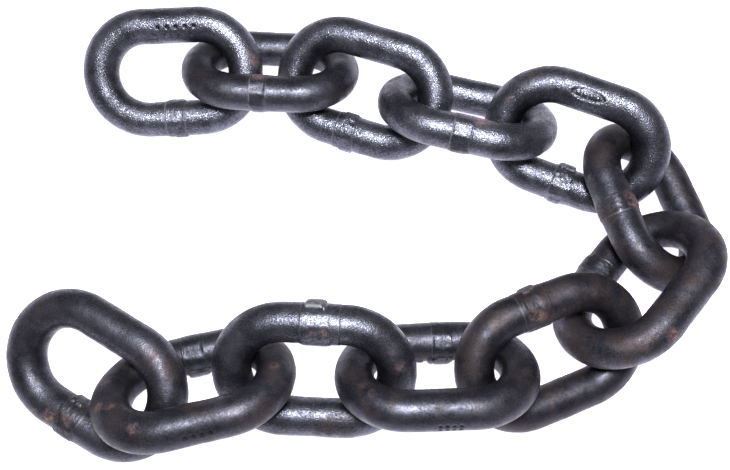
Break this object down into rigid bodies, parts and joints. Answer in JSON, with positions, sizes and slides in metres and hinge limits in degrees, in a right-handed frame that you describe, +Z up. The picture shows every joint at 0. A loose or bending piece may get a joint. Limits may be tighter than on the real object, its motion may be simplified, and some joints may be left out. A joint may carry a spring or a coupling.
{
  "type": "short length of welded iron chain",
  "caption": "Short length of heavy welded round-bar chain: interlinked short links laid on the floor in a horseshoe.",
  "frame": {"origin": "middle of the chain's footprint, on the floor it lies on", "axes": "+X towards the closed right-hand end of the horseshoe, +Y towards the upper row of links, +Z up"},
  "size_m": [0.2998, 0.2024, 0.0451],
  "materials": {
    "iron": "oiled, nearly black mill scale with a few rust spots"
  },
  "bodies": {
    "link_01": {"link_01": "iron"},
    "link_02": {"link_02": "iron"},
    "link_03": {"link_03": "iron"},
    "link_04": {"link_04": "iron"},
    "link_05": {"link_05": "iron"},
    "link_06": {"link_06": "iron"},
    "link_07": {"link_07": "iron"},
    "link_08": {"link_08": "iron"},
    "link_09": {"link_09": "iron"},
    "link_10": {"link_10": "iron"},
    "link_11": {"link_11": "iron"},
    "link_12": {"link_12": "iron"}
  },
  "joints": [
    {"name": "hook_01_02", "type": "hinge", "parent": "link_02", "child": "link_01", "pos_m": [-0.06924, 0.07409, 0.01873], "axis": [0, 0, 1], "range_deg": [0, 20]},
    {"name": "hook_02_03", "type": "hinge", "parent": "link_03", "child": "link_02", "pos_m": [-0.02518, 0.07028, 0.01933], "axis": [0, 0, -1], "range_deg": [-20, 0]},
    {"name": "hook_03_04", "type": "hinge", "parent": "link_04", "child": "link_03", "pos_m": [0.01917, 0.05593, 0.02041], "axis": [0, 0, 1], "range_deg": [0, 20]},
    {"name": "hook_04_05", "type": "hinge", "parent": "link_05", "child": "link_04", "pos_m": [0.06614, 0.04354, 0.02139], "axis": [0, 0, -1], "range_deg": [-15, 0]},
    {"name": "hook_05_06", "type": "hinge", "parent": "link_06", "child": "link_05", "pos_m": [0.10865, 0.02418, 0.0203], "axis": [0, 0, 1], "range_deg": [-35, 0]},
    {"name": "hook_06_07", "type": "hinge", "parent": "link_06", "child": "link_07", "pos_m": [0.12037, -0.01429, 0.0199], "axis": [0, 0, 1], "range_deg": [0, 35]},
    {"name": "hook_07_08", "type": "hinge", "parent": "link_07", "child": "link_08", "pos_m": [0.092, -0.04798, 0.02098], "axis": [0, 0, -1], "range_deg": [-35, 0]},
    {"name": "hook_08_09", "type": "hinge", "parent": "link_08", "child": "link_09", "pos_m": [0.04874, -0.06588, 0.02056], "axis": [0, 0, 1], "range_deg": [0, 35]},
    {"name": "hook_09_10", "type": "hinge", "parent": "link_09", "child": "link_10", "pos_m": [0.00076, -0.06832, 0.02141], "axis": [0, 0, -1], "range_deg": [-20, 0]},
    {"name": "hook_10_11", "type": "hinge", "parent": "link_10", "child": "link_11", "pos_m": [-0.04754, -0.06873, 0.02127], "axis": [0, 0, 1], "range_deg": [-25, 0]},
    {"name": "hook_11_12", "type": "hinge", "parent": "link_11", "child": "link_12", "pos_m": [-0.09192, -0.07527, 0.01968], "axis": [0, 0, 1], "range_deg": [0, 40]}
  ]
}
